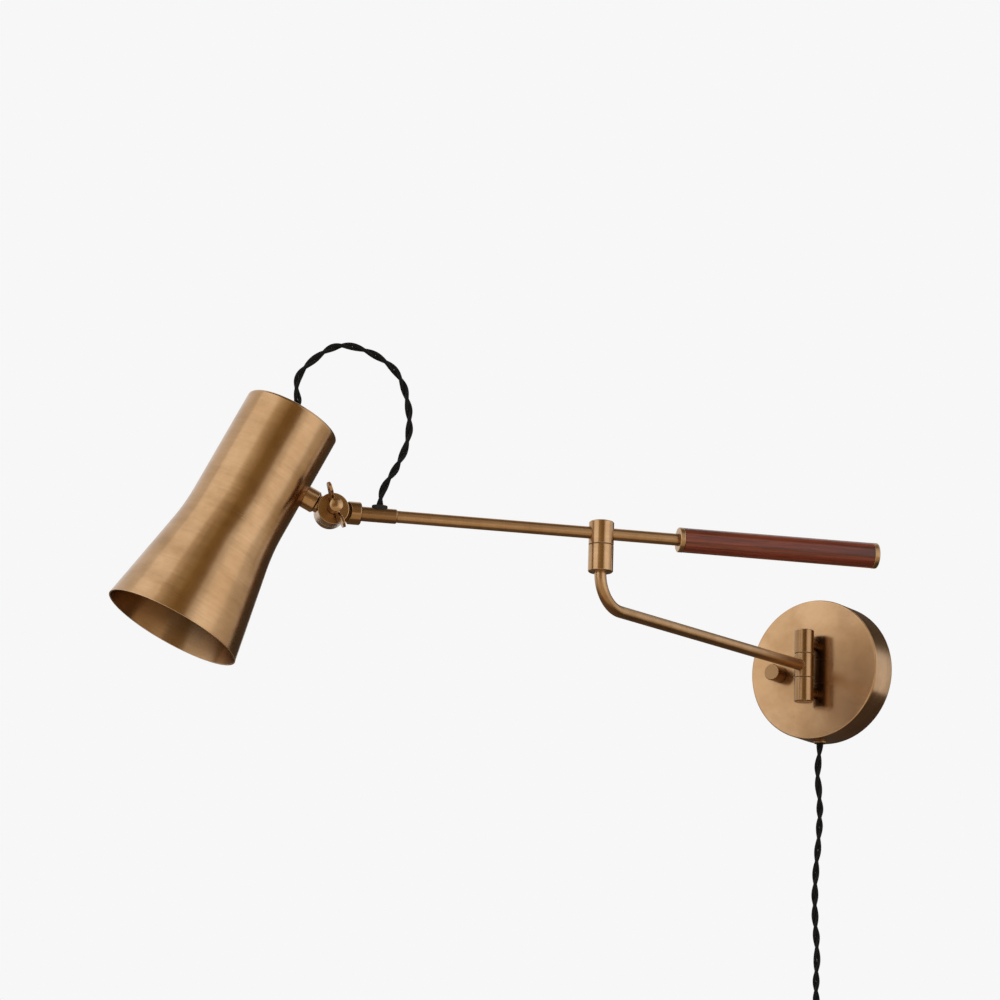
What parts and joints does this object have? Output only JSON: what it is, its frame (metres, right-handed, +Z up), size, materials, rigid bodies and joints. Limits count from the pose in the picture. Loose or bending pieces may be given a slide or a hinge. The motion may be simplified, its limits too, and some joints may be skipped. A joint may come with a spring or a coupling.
{
  "type": "swing arm wall sconce",
  "caption": "Wall lamp with a round wall plate, a jointed swing arm with a wooden handle, a tilting flared metal shade on a wing screw knuckle, a rotary dimmer and a twisted cord with a plug.",
  "frame": {"origin": "centre of the wall plate's back, on the wall plane", "axes": "+Y into the wall, +Z up, the lamp stands out towards -Y, +X to the right of someone who faces the wall"},
  "size_m": [0.4481, 0.6222, 0.6646],
  "materials": {
    "aged_brass": "aged, brushed brass with worn bright edges",
    "brushed_brass": "aged brass, brushed round its axis",
    "socket_brass": "plain pressed brass",
    "zinc_steel": "zinc plated",
    "stained_wood": "turned hardwood, red-brown stain, satin oil",
    "black_cloth": "braided cloth over twisted conductors",
    "black_rubber": "satin black",
    "black_plastic": "matt black",
    "white_plastic": "matt white"
  },
  "bodies": {
    "wall_base": {"wall_plate": "brushed_brass", "wall_bracket": "zinc_steel", "canopy_screw": "aged_brass", "hinge_posts": "aged_brass", "post_nuts": "zinc_steel", "upper_knuckle": "aged_brass", "lower_knuckle": "aged_brass", "hinge_pin": "zinc_steel", "pin_screw": "aged_brass", "dimmer_body": "black_plastic", "dimmer_nut": "zinc_steel", "terminal_block": "white_plastic", "terminal_screws": "zinc_steel", "cord_gland": "aged_brass", "gland_nut": "zinc_steel", "cord_grip": "black_rubber", "supply_cord": "black_cloth", "cord_coil": "black_cloth", "coil_tie": "black_rubber", "plug_tail": "black_cloth", "plug_body": "black_plastic", "plug_blades": "zinc_steel"},
    "knob": {"dimmer_knob": "aged_brass", "dimmer_shaft": "zinc_steel"},
    "swing_arm": {"arm_knuckle": "aged_brass", "lower_arm": "aged_brass", "elbow_socket": "aged_brass", "hinge_washers": "zinc_steel", "elbow_washer": "zinc_steel"},
    "upper_rod": {"elbow_collar": "aged_brass", "collar_screw": "zinc_steel", "elbow_pivot": "zinc_steel", "pivot_nut": "zinc_steel", "rod": "aged_brass", "handle_ferrule": "aged_brass", "handle": "stained_wood", "handle_cap": "aged_brass", "rod_sleeve": "aged_brass", "cord_grommet": "black_rubber", "knuckle_rear": "aged_brass", "knuckle_washer": "black_rubber", "loop_cord": "black_cloth"},
    "wing": {"wing_screw": "aged_brass", "friction_washer": "aged_brass"},
    "lamp_head": {"knuckle_front": "aged_brass", "shade": "brushed_brass", "stub_screw": "zinc_steel", "shade_bush": "aged_brass", "socket_nipple": "aged_brass", "nipple_nut": "zinc_steel", "socket_cap": "aged_brass", "socket_body": "black_plastic", "screw_shell": "socket_brass", "centre_contact": "socket_brass", "contact_screws": "zinc_steel"}
  },
  "joints": [
    {"name": "wall_swing", "type": "hinge", "parent": "wall_base", "child": "swing_arm", "pos_m": [0, -0.045, 0], "axis": [0, 0, 1], "range_deg": [-74.6, 85.4]},
    {"name": "elbow_swing", "type": "hinge", "parent": "swing_arm", "child": "upper_rod", "pos_m": [-0.02701, -0.33073, 0.0485], "axis": [0, 0, 1], "range_deg": [-101.4, 178.6]},
    {"name": "shade_tilt", "type": "hinge", "parent": "upper_rod", "child": "lamp_head", "pos_m": [-0.17664, -0.48567, 0.0581], "axis": [0.7193, -0.6947, 0], "range_deg": [-64, 40], "deforming": ["loop_cord"]},
    {"name": "wing_screw_turn", "type": "hinge", "parent": "upper_rod", "child": "wing", "pos_m": [-0.17664, -0.48567, 0.0581], "axis": [0.7193, -0.6947, 0], "range_deg": [0, 270]},
    {"name": "knob_turn", "type": "hinge", "parent": "wall_base", "child": "knob", "pos_m": [-0.033, -0.035, -0.002], "axis": [0, 1, 0], "range_deg": [0, 270]}
  ]
}
